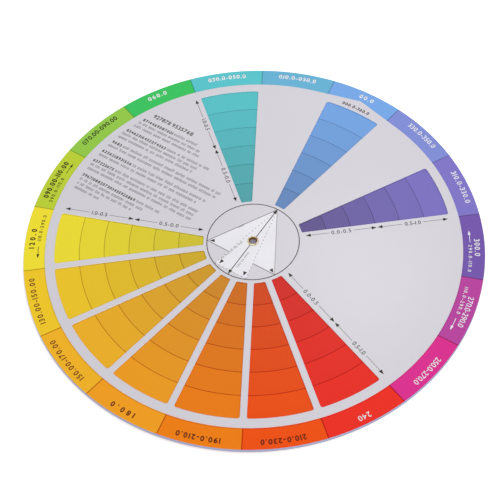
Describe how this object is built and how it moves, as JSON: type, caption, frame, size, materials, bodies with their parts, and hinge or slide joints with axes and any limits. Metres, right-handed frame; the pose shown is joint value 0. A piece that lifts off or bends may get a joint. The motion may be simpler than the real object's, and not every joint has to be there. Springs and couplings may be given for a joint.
{
  "type": "color mixing wheel",
  "caption": "Round printed card for mixing colors, with a windowed card dial turning on each face about a small brass eyelet.",
  "frame": {"origin": "on the eyelet's axis, level with the flat of its rolled end, the lowest point of the wheel as it lies face up", "axes": "+Z along the eyelet's axis, out of the printed front; -Y towards the camera of the picture"},
  "size_m": [0.235, 0.235, 0.0052],
  "materials": {
    "board": "matt solid pulp board, cut edge",
    "front_print": "hues printed in sectors under a gloss laminate",
    "back_print": "tints printed in sectors under a gloss laminate",
    "dial_card": "light grey print under a gloss laminate",
    "eyelet_brass": "bright rolled brass"
  },
  "bodies": {
    "base": {"base_board": "board", "base_front_sheet": "front_print", "base_back_sheet": "back_print", "eyelet": "eyelet_brass"},
    "front_dial": {"front_dial": "dial_card"},
    "back_dial": {"back_dial": "dial_card"}
  },
  "joints": [
    {"name": "front_dial_turn", "type": "hinge", "parent": "base", "child": "front_dial", "pos_m": [0, 0, 0.0042], "axis": [0, 0, 1], "continuous": true},
    {"name": "back_dial_turn", "type": "hinge", "parent": "base", "child": "back_dial", "pos_m": [0, 0, 0.00105], "axis": [0, 0, -1], "continuous": true}
  ]
}
